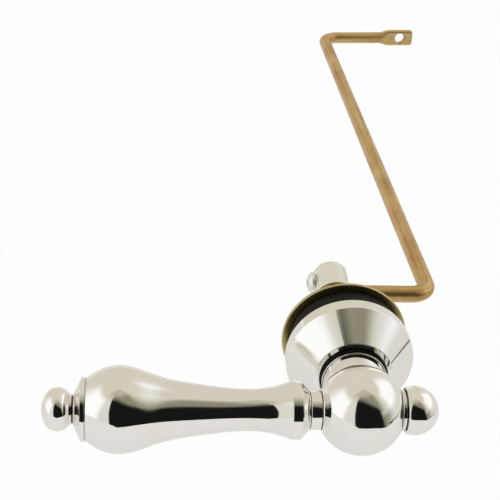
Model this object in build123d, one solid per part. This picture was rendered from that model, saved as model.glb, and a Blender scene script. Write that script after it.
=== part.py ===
"""Cistern lever: a turned handle on a ball hub that works a bent brass trip arm through the tank wall.

Millimetres. Y runs along the spindle into the tank, the handle points to -X and +Z is up.
The origin is on the spindle axis, in the plane where the escutcheon seats on the tank.
"""
from build123d import *
import math
import os

# Escutcheon: a hollow cone with a cylindrical rim band, seated on the tank face
RIM_RADIUS = 18.9
RIM_BAND = 4.35
CONE_HEIGHT = 7.5
ESCUTCHEON_WALL = 2.2
SHANK_BOSS_WALL = 2.6
EDGE_ROUND = 0.35

# Threaded shank through the tank wall, with the pieces that clamp it
SHANK_RADIUS = 7.5
SHANK_REACH = 29.4
SHANK_GRIP = 7.0
SHANK_CHAMFER = 0.6
GASKET_SETBACK = 1.5
GASKET_THICKNESS = 7.35
GASKET_ROUND = 0.8
WASHER_RADIUS = 18.95
WASHER_THICKNESS = 1.2
WASHER_LIFT = 0.5
WASHER_SHIFT = 0.3
WASHER_ROUND = 0.3
NUT_ACROSS_FLATS = 22.0
NUT_THICKNESS = 5.5
NUT_CORNER_CHAMFER = 0.9

# Hub: a ball with a neck along the spindle and a seat on each side
HANDLE_OFFSET = 28.2
BALL_RADIUS = 12.55
SEAT_MARGIN = 0.15
NECK_RADIUS = 9.0
NECK_FLANGE_LIP = 0.9
NECK_FLANGE_THICKNESS = 0.8
NECK_FLANGE_ROUND = 0.3
BEARING_THICKNESS = 1.6
BEARING_SETBACK = 0.15
NOSE_LIP = 1.05

# Handle: collar, baluster lever and end finial on one stud
COLLAR_RADIUS = 5.4
COLLAR_LENGTH = 3.4
COLLAR_ROUND = 0.45
FOOT_RADIUS = 5.4
FOOT_CONE = 2.1
LIP_RADIUS = 8.1
LIP_WIDTH = 2.95
LIP_BEVEL = 0.35
LIP_TO_WAIST = 11.4
WAIST_RADIUS = 5.8
WAIST_TO_TAPER = 14.0
TAPER_RADIUS = 7.05
TAPER_TO_FLARE = 11.0
FLARE_RADIUS = 9.2
FLARE_TO_SWELL = 11.0
SWELL_RADIUS = 12.1
SWELL_TO_SHOULDER = 5.2
SHOULDER_RADIUS = 10.93
SHOULDER_TO_END = 3.6
END_RADIUS = 8.75
END_GROOVE_WIDTH = 0.3
END_GROOVE_DEPTH = 0.35
END_RING_RADIUS = 8.8
END_RING_WIDTH = 1.25
END_CONE_LENGTH = 2.15
END_CONE_STEP = 0.15
END_CONE_TOP_RADIUS = 4.1
STUD_RADIUS = 2.5
STUD_GRIP = 5.0

# End finial on the handle
FINIAL_GROOVE_RADIUS = 3.75
FINIAL_GROOVE_WIDTH = 0.3
FINIAL_NECK_RADIUS = 4.1
FINIAL_NECK_LENGTH = 0.65
FINIAL_BALL_RADIUS = 6.0
FINIAL_BALL_FOOT = 4.25
FINIAL_CHEEK_RADIUS = 3.9
FINIAL_CROWN_TO_TIP = 4.4
FINIAL_STUD_DEPTH = 5.0

# Hub finial on the far side of the ball
KNOB_RADIUS = 6.85
KNOB_FOOT_RADIUS = 6.35
KNOB_BASE_RADIUS = 5.7
KNOB_BASE_WIDTH = 0.85
KNOB_GROOVE_WIDTH = 0.35
KNOB_GROOVE_DEPTH = 0.35
KNOB_STEM_LENGTH = 4.5

# Spindle, its retaining clip and the two small screws
SPINDLE_RADIUS = 5.8
SPINDLE_SETBACK = 5.6
SPINDLE_TAIL = 11.15
SPINDLE_CHAMFER = 0.4
CLIP_OUTER_RADIUS = 7.4
CLIP_GROOVE_DEPTH = 0.65
CLIP_THICKNESS = 1.0
CLIP_MOUTH = 6.4
GRUB_RADIUS = 2.0
GRUB_INSET = 3.6
GRUB_LENGTH = 3.2
GRUB_SOCKET_ACROSS = 2.0
GRUB_SOCKET_DEPTH = 1.5
GRUB_FLAT_DEPTH = 0.4
GRUB_FLAT_LENGTH = 6.0
SCREW_RADIUS = 2.0
SCREW_SETBACK = 6.6
SCREW_HEAD_RADIUS = 3.5
SCREW_HEAD_RIM = 0.8
SCREW_HEAD_DOME = 1.3
SCREW_SOCKET_ACROSS = 2.5
SCREW_SOCKET_DEPTH = 1.3

# Trip arm: one bent rod with a flattened, holed end
ROD_RADIUS = 2.75
LEG_BEND_RADIUS = 5.0
CRANK_BEND_RADIUS = 6.0
END_BEND_RADIUS = 8.0
ARM_TO_CLIP = 1.55
LEG_INSET = 1.0
CRANK_REACH = 31.6
ARM_LENGTH = 252.45
ARM_SPLAY = 1.39
END_REACH = 46.4
END_SPLAY = 5.0
TAB_LENGTH = 12.2
TAB_NECK = 5.0
TAB_WIDTH = 7.8
TAB_THICKNESS = 3.0
TAB_EDGE_ROUND = 1.1
TAB_CORNER = 1.0
CHAIN_HOLE_RADIUS = 2.6
CHAIN_HOLE_INSET = 6.5

# Clearances
RUNNING_CLEARANCE = 0.05
THREAD_CLEARANCE = 0.05
HOLE_CLEARANCE = 0.3
WASHER_CLEARANCE = 0.7
ROD_CLEARANCE = 0.1
BEARING_GAP = 0.15
CLIP_GAP = 0.12
SEAT_GAP = 0.05

# Places along the spindle, worked out from the seat plane
nose_y = -(RIM_BAND + CONE_HEIGHT)
neck_end_y = nose_y - BEARING_THICKNESS - BEARING_GAP
spindle_front_y = -HANDLE_OFFSET + SPINDLE_SETBACK
washer_y = GASKET_THICKNESS
nut_y = washer_y + WASHER_THICKNESS
clip_y = SHANK_REACH + CLIP_GAP
crank_y = clip_y + CLIP_THICKNESS + ARM_TO_CLIP + ROD_RADIUS
spindle_end_y = crank_y + SPINDLE_TAIL
grub_y = neck_end_y - GRUB_INSET
screw_y = crank_y + SCREW_SETBACK

# Radii that follow a neighbour
neck_flange_radius = NECK_RADIUS + NECK_FLANGE_LIP
bearing_radius = neck_flange_radius - BEARING_SETBACK
nose_radius = neck_flange_radius + NOSE_LIP
gasket_radius = RIM_RADIUS - GASKET_SETBACK
rod_channel_radius = ROD_RADIUS + ROD_CLEARANCE

# Distances from the ball's centre along the handle
hub_seat = math.sqrt(BALL_RADIUS**2 - (COLLAR_RADIUS + SEAT_MARGIN) ** 2)
knob_seat = math.sqrt(BALL_RADIUS**2 - (KNOB_BASE_RADIUS + SEAT_MARGIN) ** 2)
lever_start = hub_seat + COLLAR_LENGTH
lip_start = lever_start + FOOT_CONE
lip_end = lip_start + LIP_WIDTH
waist = lip_end + LIP_TO_WAIST
taper = waist + WAIST_TO_TAPER
flare = taper + TAPER_TO_FLARE
swell = flare + FLARE_TO_SWELL
shoulder = swell + SWELL_TO_SHOULDER
body_end = shoulder + SHOULDER_TO_END
ring_start = body_end + END_GROOVE_WIDTH
ring_end = ring_start + END_RING_WIDTH
finial_seat = ring_end + END_CONE_LENGTH


def ring(outer, inner, start, length):
    """Plain ring about the spindle axis, from start along +Y."""
    section = Pos((outer + inner) / 2, start + length / 2) * Rectangle(outer - inner, length)
    return revolve(section, Axis.Y)


def rounded_ring(outer, inner, start, length, radius):
    """Ring about the spindle axis with both outer edges rounded."""
    section = Pos((outer + inner) / 2, start + length / 2) * Rectangle(outer - inner, length)
    corners = section.vertices().sort_by(Axis.X)[-2:]
    return revolve(fillet(corners, radius), Axis.Y)


def spindle_rod(radius, start, end):
    """Plain cylinder on the spindle axis between two places."""
    return Pos(0, (start + end) / 2, 0) * Rot(90, 0, 0) * Cylinder(radius, end - start)


def handle_rod(radius, start, end):
    """Plain cylinder on the handle axis, start and end measured along +X from the ball's centre."""
    return Pos((start + end) / 2, -HANDLE_OFFSET, 0) * Rot(0, 90, 0) * Cylinder(radius, abs(end - start))


def rounded_collar(outer, inner, start, end, radius):
    """Ring about the handle axis with both outer edges rounded."""
    section = Pos((start + end) / 2, (outer + inner) / 2) * Rectangle(end - start, outer - inner)
    corners = section.vertices().sort_by(Axis.Y)[-2:]
    return Pos(0, -HANDLE_OFFSET, 0) * revolve(fillet(corners, radius), Axis.X)


def turned_on_handle(edges):
    """Solid turned about the handle axis from a closed outline of (distance along +X, radius)."""
    return Pos(0, -HANDLE_OFFSET, 0) * revolve(make_face(edges), Axis.X)


def escutcheon():
    """Cone and rim band, cored from behind, with a tapped boss for the shank."""
    slope = math.hypot(RIM_RADIUS - nose_radius, CONE_HEIGHT)
    rise = CONE_HEIGHT / (RIM_RADIUS - nose_radius)
    tapped = SHANK_RADIUS + THREAD_CLEARANCE
    passage = SPINDLE_RADIUS + HOLE_CLEARANCE
    boss = tapped + SHANK_BOSS_WALL
    rim_inner = RIM_RADIUS - ESCUTCHEON_WALL
    skin = ESCUTCHEON_WALL * slope / (RIM_RADIUS - nose_radius)
    cone_at_boss = nose_y + rise * (boss - nose_radius)
    cone_at_rim = nose_y + rise * (rim_inner - nose_radius)
    outline = Polyline(
        (passage, nose_y),
        (nose_radius, nose_y),
        (RIM_RADIUS, -RIM_BAND),
        (RIM_RADIUS, 0),
        (rim_inner, 0),
        (rim_inner, cone_at_rim + skin),
        (boss, cone_at_boss + skin),
        (boss, 0),
        (tapped, 0),
        (tapped, -SHANK_GRIP),
        (passage, -SHANK_GRIP),
        close=True,
    )
    section = make_face(outline)
    rim_corners = section.vertices().sort_by(Axis.X)[-2:]
    nose_corner = section.vertices().sort_by(Axis.Y)[:2].sort_by(Axis.X)[-1]
    return revolve(fillet(rim_corners + [nose_corner], EDGE_ROUND), Axis.Y)


def mounting_shank():
    """Brass tube, threaded outside, that the spindle turns in."""
    bore = SPINDLE_RADIUS + RUNNING_CLEARANCE
    tube = ring(SHANK_RADIUS, bore, -SHANK_GRIP, SHANK_GRIP + SHANK_REACH)
    end_edge = tube.edges().filter_by(GeomType.CIRCLE).sort_by(Axis.Y)[-2:].sort_by(SortBy.RADIUS)[-1]
    return chamfer(end_edge, SHANK_CHAMFER)


def rubber_gasket():
    """Thick soft ring behind the escutcheon."""
    return rounded_ring(gasket_radius, SHANK_RADIUS + HOLE_CLEARANCE, 0, GASKET_THICKNESS, GASKET_ROUND)


def clamp_washer():
    """Thin brass disc behind the gasket, loose on the shank and off its centre."""
    bore = SHANK_RADIUS + WASHER_CLEARANCE
    disc = rounded_ring(WASHER_RADIUS, bore, washer_y, WASHER_THICKNESS, WASHER_ROUND)
    return Pos(-WASHER_SHIFT, 0, WASHER_LIFT) * disc


def lock_nut():
    """Hexagon nut with turned corners."""
    corner_radius = NUT_ACROSS_FLATS / math.sqrt(3)
    blank = extrude(Plane.XZ * RegularPolygon(corner_radius, 6), -NUT_THICKNESS)
    turned_off = rounded_ring(
        corner_radius, SHANK_RADIUS + THREAD_CLEARANCE, 0, NUT_THICKNESS, NUT_CORNER_CHAMFER
    )
    return Pos(0, nut_y, 0) * (blank & turned_off)


def bearing_washer():
    """Black slip ring between the turning hub and the fixed escutcheon."""
    return ring(bearing_radius, SPINDLE_RADIUS + HOLE_CLEARANCE, nose_y - BEARING_THICKNESS, BEARING_THICKNESS)


def hub_ball():
    """Ball and neck in one, spot-faced for the collar and the finial and bored for the spindle."""
    ball = Pos(0, -HANDLE_OFFSET, 0) * Sphere(BALL_RADIUS)
    neck = spindle_rod(NECK_RADIUS, -HANDLE_OFFSET, neck_end_y)
    flange = rounded_ring(
        neck_flange_radius,
        SPINDLE_RADIUS,
        neck_end_y - NECK_FLANGE_THICKNESS,
        NECK_FLANGE_THICKNESS,
        NECK_FLANGE_ROUND,
    )
    body = ball + neck + flange
    body -= handle_rod(BALL_RADIUS, -hub_seat - BALL_RADIUS, -hub_seat)
    body -= handle_rod(BALL_RADIUS, knob_seat, knob_seat + BALL_RADIUS)
    tapped = STUD_RADIUS + THREAD_CLEARANCE
    body -= handle_rod(tapped, -hub_seat + STUD_GRIP + SEAT_GAP, -hub_seat)
    body -= handle_rod(tapped, knob_seat - KNOB_STEM_LENGTH - SEAT_GAP, knob_seat)
    body -= spindle_rod(SPINDLE_RADIUS + THREAD_CLEARANCE, spindle_front_y - SEAT_GAP, neck_end_y)
    body -= Pos(0, grub_y, -NECK_RADIUS) * Cylinder(GRUB_RADIUS + THREAD_CLEARANCE, NECK_RADIUS)
    return body


def neck_grub_screw():
    """Socket grub screw under the neck that locks the hub to the spindle's flat."""
    tip_z = -(SPINDLE_RADIUS - GRUB_FLAT_DEPTH + SEAT_GAP)
    screw = Pos(0, grub_y, tip_z - GRUB_LENGTH / 2) * Cylinder(GRUB_RADIUS, GRUB_LENGTH)
    key_corner = GRUB_SOCKET_ACROSS / math.sqrt(3)
    key = extrude(RegularPolygon(key_corner, 6), GRUB_SOCKET_DEPTH)
    return screw - Pos(0, grub_y, tip_z - GRUB_LENGTH) * key


def lever_collar():
    """Short ring between the ball and the lever."""
    bore = STUD_RADIUS + HOLE_CLEARANCE
    return rounded_collar(COLLAR_RADIUS, bore, -lever_start, -hub_seat, COLLAR_ROUND)


def lever_handle():
    """Baluster: coned foot with a plain lip, slim waist, full swell and a ringed, shallow-coned end."""
    bore = STUD_RADIUS + HOLE_CLEARANCE
    foot = Polyline(
        (-lever_start, bore),
        (-lever_start, FOOT_RADIUS),
        (-lip_start, LIP_RADIUS - LIP_BEVEL),
        (-lip_start - LIP_BEVEL, LIP_RADIUS),
        (-lip_end, LIP_RADIUS),
    )
    body = Spline(
        (-lip_end, LIP_RADIUS),
        (-waist, WAIST_RADIUS),
        (-taper, TAPER_RADIUS),
        (-flare, FLARE_RADIUS),
        (-swell, SWELL_RADIUS),
        (-shoulder, SHOULDER_RADIUS),
        (-body_end, END_RADIUS),
    )
    end = Polyline(
        (-body_end, END_RADIUS),
        (-body_end, END_RADIUS - END_GROOVE_DEPTH),
        (-ring_start, END_RADIUS - END_GROOVE_DEPTH),
        (-ring_start, END_RING_RADIUS),
        (-ring_end, END_RING_RADIUS),
        (-ring_end, END_RING_RADIUS - END_CONE_STEP),
        (-finial_seat, END_CONE_TOP_RADIUS),
        (-finial_seat, bore),
        (-lever_start, bore),
    )
    return turned_on_handle(foot.edges() + [body] + end.edges())


def end_finial():
    """Grooved neck and flattened ball, tapped for the stud."""
    neck_start = finial_seat + FINIAL_GROOVE_WIDTH
    ball_start = neck_start + FINIAL_NECK_LENGTH
    cheek_height = FINIAL_BALL_RADIUS - FINIAL_CHEEK_RADIUS
    crown = ball_start + math.sqrt(FINIAL_CHEEK_RADIUS**2 - (FINIAL_BALL_FOOT - cheek_height) ** 2)
    tip = crown + FINIAL_CROWN_TO_TIP
    overshoot = FINIAL_CROWN_TO_TIP - FINIAL_CHEEK_RADIUS
    end_radius = (cheek_height**2 + FINIAL_CROWN_TO_TIP**2 - FINIAL_CHEEK_RADIUS**2) / (2 * overshoot)
    reach = end_radius / (end_radius - FINIAL_CHEEK_RADIUS)
    meet = (-tip + end_radius - reach * (end_radius - FINIAL_CROWN_TO_TIP), reach * cheek_height)
    cheek = ThreePointArc((-ball_start, FINIAL_BALL_FOOT), (-crown, FINIAL_BALL_RADIUS), meet)
    cap = TangentArc(meet, (-tip, 0), tangent=cheek % 1)
    stalk = Polyline(
        (-tip, 0),
        (-finial_seat, 0),
        (-finial_seat, FINIAL_GROOVE_RADIUS),
        (-neck_start, FINIAL_GROOVE_RADIUS),
        (-neck_start, FINIAL_NECK_RADIUS),
        (-ball_start, FINIAL_NECK_RADIUS),
        (-ball_start, FINIAL_BALL_FOOT),
    )
    body = turned_on_handle(stalk.edges() + [cheek, cap])
    socket_end = finial_seat + FINIAL_STUD_DEPTH + SEAT_GAP
    return body - handle_rod(STUD_RADIUS + THREAD_CLEARANCE, -socket_end, -finial_seat)


def handle_stud():
    """Threaded rod from the ball through the collar and the lever to the end finial."""
    return handle_rod(STUD_RADIUS, -finial_seat - FINIAL_STUD_DEPTH, -hub_seat + STUD_GRIP)


def hub_finial():
    """Ball knob with a grooved base and a threaded stem into the hub."""
    groove_start = knob_seat + KNOB_BASE_WIDTH
    knob_start = groove_start + KNOB_GROOVE_WIDTH
    knob_centre = knob_start + math.sqrt(KNOB_RADIUS**2 - KNOB_FOOT_RADIUS**2)
    knob = Pos(knob_centre, -HANDLE_OFFSET, 0) * Sphere(KNOB_RADIUS)
    knob -= handle_rod(2 * KNOB_RADIUS, knob_start - 2 * KNOB_RADIUS, knob_start)
    base = handle_rod(KNOB_BASE_RADIUS, knob_seat, groove_start)
    groove = handle_rod(KNOB_BASE_RADIUS - KNOB_GROOVE_DEPTH, groove_start, knob_start)
    stem = handle_rod(STUD_RADIUS, knob_seat - KNOB_STEM_LENGTH, knob_seat)
    return knob + groove + base + stem


def spindle():
    """Round bar, flatted for the grub screw, grooved for the clip and slotted behind for the arm."""
    bar = spindle_rod(SPINDLE_RADIUS, spindle_front_y, spindle_end_y)
    bar = chamfer(bar.edges().filter_by(GeomType.CIRCLE).sort_by(Axis.Y)[-1], SPINDLE_CHAMFER)
    flat_z = -(SPINDLE_RADIUS - GRUB_FLAT_DEPTH / 2)
    bar -= Pos(0, grub_y, flat_z) * Box(2 * SPINDLE_RADIUS, GRUB_FLAT_LENGTH, GRUB_FLAT_DEPTH)
    bar -= ring(2 * SPINDLE_RADIUS, SPINDLE_RADIUS - CLIP_GROOVE_DEPTH, clip_y, CLIP_THICKNESS)
    channel_y = crank_y - rod_channel_radius
    bar -= spindle_rod(rod_channel_radius, channel_y, spindle_end_y)
    channel_length = spindle_end_y - channel_y
    bar -= Pos(SPINDLE_RADIUS, channel_y + channel_length / 2, 0) * Box(
        2 * SPINDLE_RADIUS, channel_length, 2 * rod_channel_radius
    )
    bar -= Pos(-SPINDLE_RADIUS, screw_y, 0) * Rot(0, 90, 0) * Cylinder(
        SCREW_RADIUS + THREAD_CLEARANCE, 2 * SPINDLE_RADIUS
    )
    return bar


def retaining_clip():
    """Open clip in the spindle's groove that bears on the end of the shank."""
    inner = SPINDLE_RADIUS - CLIP_GROOVE_DEPTH + SEAT_GAP
    thickness = CLIP_THICKNESS - 2 * SEAT_GAP
    closed = ring(CLIP_OUTER_RADIUS, inner, clip_y + SEAT_GAP, thickness)
    mouth = Pos(0, clip_y + CLIP_THICKNESS / 2, -CLIP_OUTER_RADIUS) * Box(
        CLIP_MOUTH, CLIP_THICKNESS, 2 * CLIP_OUTER_RADIUS
    )
    return closed - mouth


def arm_screw():
    """Round-head socket screw through the spindle's side that bears on the arm's inner leg."""
    head_x = SPINDLE_RADIUS + SEAT_GAP
    tip_x = ROD_RADIUS + SEAT_GAP
    rim_x = head_x + SCREW_HEAD_RIM
    top_x = rim_x + SCREW_HEAD_DOME
    shank = Polyline(
        (0, tip_x), (SCREW_RADIUS, tip_x), (SCREW_RADIUS, head_x), (SCREW_HEAD_RADIUS, head_x),
        (SCREW_HEAD_RADIUS, rim_x),
    )
    shoulder = math.sin(math.pi / 4)
    dome = ThreePointArc(
        (SCREW_HEAD_RADIUS, rim_x),
        (SCREW_HEAD_RADIUS * shoulder, rim_x + SCREW_HEAD_DOME * shoulder),
        (0, top_x),
    )
    axis_line = Line((0, top_x), (0, tip_x))
    screw = revolve(make_face(shank.edges() + [dome, axis_line]), Axis.Y)
    key_corner = SCREW_SOCKET_ACROSS / math.sqrt(3)
    key = extrude(Plane.XZ * RegularPolygon(key_corner, 6), SCREW_SOCKET_DEPTH, both=True)
    return Pos(0, screw_y, 0) * Rot(0, 0, 90) * (screw - Pos(0, top_x, 0) * key)


def trip_arm():
    """Rod with an inner leg, crank, long run and end bar, pressed flat at the end and holed for the chain."""
    drift = ARM_LENGTH * math.tan(math.radians(ARM_SPLAY))
    run_x = CRANK_REACH - drift
    end_y = crank_y + ARM_LENGTH
    tab_start = END_REACH - TAB_LENGTH
    neck_start = tab_start - TAB_NECK
    bar = Location((run_x, end_y, 0), (0, 0, END_SPLAY))
    bar_end = (bar * Pos(neck_start, 0, 0)).position
    route = FilletPolyline(
        (0, spindle_end_y - LEG_INSET),
        (0, crank_y),
        (CRANK_REACH, crank_y),
        (run_x, end_y),
        (bar_end.X, bar_end.Y),
        radius=(LEG_BEND_RADIUS, CRANK_BEND_RADIUS, END_BEND_RADIUS),
    )
    rod = sweep(Plane(route @ 0, z_dir=route % 0) * Circle(ROD_RADIUS), route)
    across_bar = Plane((0, 0, 0), x_dir=(0, 1, 0), z_dir=(1, 0, 0))
    round_end = across_bar.offset(neck_start) * Circle(ROD_RADIUS)
    flat_section = RectangleRounded(TAB_THICKNESS, TAB_WIDTH, TAB_EDGE_ROUND)
    flat_end = across_bar.offset(tab_start) * flat_section
    neck = loft([round_end, flat_end])
    tab = extrude(flat_end, TAB_LENGTH)
    outline = Pos(tab_start + TAB_LENGTH / 2, 0, 0) * Box(TAB_LENGTH, 2 * TAB_WIDTH, TAB_WIDTH)
    corners = outline.edges().filter_by(Axis.Y).sort_by(Axis.X)[-2:]
    tab &= fillet(corners, TAB_CORNER)
    hole = Pos(END_REACH - CHAIN_HOLE_INSET, 0, 0) * Rot(90, 0, 0) * Cylinder(CHAIN_HOLE_RADIUS, 2 * TAB_WIDTH)
    return rod + bar * (neck + tab - hole)


PIECES = (
    escutcheon,
    mounting_shank,
    rubber_gasket,
    clamp_washer,
    lock_nut,
    bearing_washer,
    hub_ball,
    neck_grub_screw,
    lever_collar,
    lever_handle,
    handle_stud,
    end_finial,
    hub_finial,
    spindle,
    retaining_clip,
    arm_screw,
    trip_arm,
)

os.makedirs("parts", exist_ok=True)
for piece in PIECES:
    export_step(piece(), f"parts/{piece.__name__}.step")
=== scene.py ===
"""Cistern lever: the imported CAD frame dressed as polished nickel, drawn brass, rubber and nylon.

Lengths in this file are millimetres in the CAD frame until a mesh is made: Y runs along the spindle
into the tank, the handle points to -X and +Z is up.
"""
import functools
from math import acos, atan2, ceil, copysign, cos, hypot, pi, radians, sin, sqrt, tan

import bmesh
import bpy
import numpy as np
from bpy.props import FloatProperty, FloatVectorProperty, PointerProperty
from mathutils import Matrix, Vector
from numpy.linalg import norm


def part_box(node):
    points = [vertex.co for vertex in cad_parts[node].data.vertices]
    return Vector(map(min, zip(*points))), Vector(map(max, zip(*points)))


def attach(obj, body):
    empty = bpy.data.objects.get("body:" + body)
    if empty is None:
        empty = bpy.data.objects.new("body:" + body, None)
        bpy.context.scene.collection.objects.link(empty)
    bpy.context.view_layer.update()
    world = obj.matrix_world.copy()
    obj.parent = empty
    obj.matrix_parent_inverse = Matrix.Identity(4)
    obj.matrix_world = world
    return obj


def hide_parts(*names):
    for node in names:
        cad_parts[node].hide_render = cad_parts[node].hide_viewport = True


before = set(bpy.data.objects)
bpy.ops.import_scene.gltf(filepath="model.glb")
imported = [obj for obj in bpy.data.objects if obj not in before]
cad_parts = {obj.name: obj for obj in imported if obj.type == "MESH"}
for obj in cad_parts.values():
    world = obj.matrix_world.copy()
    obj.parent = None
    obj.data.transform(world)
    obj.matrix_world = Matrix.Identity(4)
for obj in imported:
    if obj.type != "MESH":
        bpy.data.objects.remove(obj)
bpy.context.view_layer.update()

bl_info = {
    "name": "Cistern lever",
    "version": (1, 0, 0),
    "blender": (4, 5, 0),
    "location": "View3D > Sidebar > Cistern lever",
    "description": "Builds the visible pieces of a cistern lever around its CAD frame",
    "category": "Object",
}

MM = 0.001
X, Y, Z = 0, 1, 2
CENTRE = (0, 0, 0)
SPINDLE_AXIS = (0, 1, 0)
TURNED_SEGMENTS = 192
ROUND_SEGMENTS = 96
HOLE_SEGMENTS = 64
BORE_SEGMENTS = 48
SECTION_POINTS = 64
SHARP_ANGLE = radians(24)
THREAD_SHARP_ANGLE = radians(50)
ROUNDING_STEP = radians(11)
# the most of a side that a rounding takes up
ROUNDING_SHARE = 0.49
WELD = 1e-5
ON_AXIS = 1e-4
# roundings of turned edges, from a groove's foot to an edge that is often touched
TIGHT, FINE, EASED, SOFT = 0.05, 0.08, 0.1, 0.12


def linear(hex_colour):
    """Linear RGBA of an sRGB hex colour."""
    parts = [int(hex_colour[i : i + 2], 16) / 255 for i in (1, 3, 5)]
    return [c / 12.92 if c <= 0.04045 else ((c + 0.055) / 1.055) ** 2.4 for c in parts] + [1.0]


def shaded(colour, share):
    """A colour made darker or lighter, still opaque."""
    return [min(1.0, c * share) for c in colour[:3]] + [1.0]


def per_mm(size):
    """Texture scale, in object space, of a pattern whose features are size millimetres across."""
    return 1 / (size * MM)


def top_of(node, axis):
    """Highest place of a CAD node along an axis, in millimetres."""
    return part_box(node)[1][axis] / MM


def foot_of(node, axis):
    """Lowest place of a CAD node along an axis, in millimetres."""
    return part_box(node)[0][axis] / MM


def span(node, axis):
    """Lowest and highest place of a CAD node along an axis."""
    return foot_of(node, axis), top_of(node, axis)


def middle_of(node, axis):
    """Middle of a CAD node along an axis."""
    return sum(span(node, axis)) / 2


def length(name, description, millimetres):
    """A length that a user may change, kept in metres as the scene is."""
    return FloatProperty(
        name=name, description=description, default=millimetres * MM, min=0, unit="LENGTH", precision=5
    )


def angular(name, description, degrees):
    """An angle that a user may change."""
    return FloatProperty(name=name, description=description, default=radians(degrees), subtype="ANGLE")


def tone(name, description, hex_colour):
    """A colour that a user may change."""
    return FloatVectorProperty(
        name=name, description=description, default=linear(hex_colour), size=4, subtype="COLOR", min=0, max=1
    )


class HandleSizes(bpy.types.PropertyGroup):
    """Radii of the turned handle, the hub and the finials"""

    ball: length("Hub ball", "Radius of the hub's ball", 12.55)
    collar: length("Collar", "Radius of the ring between ball and handle", 5.4)
    lip: length("Lip", "Radius of the plain band near the hub", 8.1)
    waist: length("Waist", "Radius at the handle's slimmest place", 5.8)
    swell: length("Swell", "Radius at the handle's fullest place", 12.1)
    end_ring: length("End ring", "Radius of the ring that closes the handle", 8.8)
    finial: length("End finial", "Radius of the flattened ball at the handle's end", 6.0)
    knob: length("Hub finial", "Radius of the ball knob beside the hub", 6.85)


class MountSizes(bpy.types.PropertyGroup):
    """Sizes of the pieces fixed to the tank"""

    rim: length("Escutcheon rim", "Radius of the rim band", 18.9)
    nose: length("Escutcheon nose", "Radius of the cone's small end", 11.65)
    gasket: length("Gasket", "Radius of the rubber ring", 17.4)
    bulge: length("Gasket bulge", "How far the clamped rubber swells at mid thickness", 0.18)
    washer: length("Washer", "Radius of the clamp washer", 18.95)
    shank: length("Shank", "Radius over the shank's thread", 7.5)
    thread_pitch: length("Thread pitch", "Distance between two turns of the shank's thread", 1.25)
    thread_depth: length("Thread depth", "Height of the shank's thread", 0.62)
    nut_flats: length("Nut", "Distance across the nut's flats", 22)


class ArmSizes(bpy.types.PropertyGroup):
    """Sizes of the bent trip arm"""

    rod: length("Rod", "Radius of the brass rod", 2.75)
    reach: length("Crank", "Sideways reach of the crank beside the spindle", 31.6)
    run: length("Long run", "Length of the long run, along the spindle", 252.45)
    end_reach: length("End bar", "Length of the end bar, from the long run to the tip", 46.4)
    splay: angular("Run splay", "Lean of the long run towards the spindle", 1.39)
    end_splay: angular("Bar splay", "How far the end bar is short of square", 5)
    tab_length: length("Tab length", "Length of the pressed flat", 12.2)
    tab_neck: length("Tab neck", "Length over which the rod eases into the flat", 5)
    tab_width: length("Tab width", "Width of the pressed end", 7.8)
    tab_thickness: length("Tab thickness", "Thickness of the pressed end", 3)
    hole: length("Chain hole", "Radius of the hole for the chain", 2.6)
    hole_inset: length("Hole inset", "Distance from the tip to the middle of the hole", 6.5)


class Finishes(bpy.types.PropertyGroup):
    """Colours of the metals, the rubber and the nylon"""

    nickel: tone("Nickel", "Polished nickel plate", "#F6F5F3")
    nickel_cloud: tone("Nickel cloud", "Faint warm clouding in the nickel", "#F0EEEA")
    # painted shade in the nickel's joints and creases, partly polish residue
    residue_and_crease_shade: tone("Polish residue", "Dark polish left in the creases of the nickel", "#26241E")
    bar: tone("Spindle bar", "Satin nickel on the spindle", "#F9F8F5")
    brass: tone("Brass", "Drawn brass of the trip arm", "#CEA86D")
    brass_pale: tone("Rubbed brass", "Brass where it is rubbed bright", "#E2C692")
    brass_stain: tone("Brass stain", "Brown tarnish on the brass", "#AA804E")
    turned_brass: tone("Turned brass", "Olive brass of the washer, the nut and the shank", "#B4A36B")
    # painted highlight along the washer's rim
    washer_rim_highlight: tone("Washer rim", "Brass rubbed bright at the washer's rim", "#F4E6BE")
    # painted light that brightens the end bar towards its far end
    end_bar_light: tone("End bar", "What the chain's rubbing adds to the brass of the end bar", "#A5824E")
    steel: tone("Plated steel", "Zinc plate on the clip and screws", "#FAFBFA")
    rubber: tone("Rubber", "Moulded black rubber", "#121211")
    nylon: tone("Nylon", "Black nylon slip ring", "#0A0A0A")


class StageSettings(bpy.types.PropertyGroup):
    """Camera and studio"""

    camera_place: FloatVectorProperty(
        name="Camera place", description="Where the camera stands", subtype="TRANSLATION", unit="LENGTH",
        default=(-57.291 * MM, -296.146 * MM, 198.967 * MM), precision=5,
    )
    camera_yaw: angular("Yaw", "Turn to the right of straight ahead", 5.054)
    camera_pitch: angular("Pitch", "Tilt below the horizon", 28.89)
    camera_roll: angular("Roll", "Turn about the line of sight", -3.247)
    lens: FloatProperty(name="Lens", description="Focal length in millimetres", default=86.4, min=1)
    floor: tone("Floor", "Paper on the floor", "#F6F5F2")
    room: tone("Dark room", "Unlit room in front of the object, which the nickel mirrors", "#161615")
    panel: tone("White panels", "Lit panels on both sides", "#FFFFFF")
    side: tone("Side walls", "Pale walls beside the panels", "#D9D7D0")
    dim: tone("Dim ceiling", "Half-lit ceiling over the dark room", "#8A8874")
    over: tone("Upper ceiling", "Ceiling above the half-lit part", "#B7B4A1")
    ceiling: tone("Ceiling", "Warm pale surroundings above and behind", "#D2CEBD")


def set_sockets(node, sockets):
    """Set a node's inputs to values, or link outputs into them; a node stands for its first output."""
    for socket, value in sockets.items():
        if isinstance(value, bpy.types.Node):
            value = value.outputs[0]
        if isinstance(value, bpy.types.NodeSocket):
            node.id_data.links.new(value, node.inputs[socket])
        else:
            node.inputs[socket].default_value = value


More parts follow.
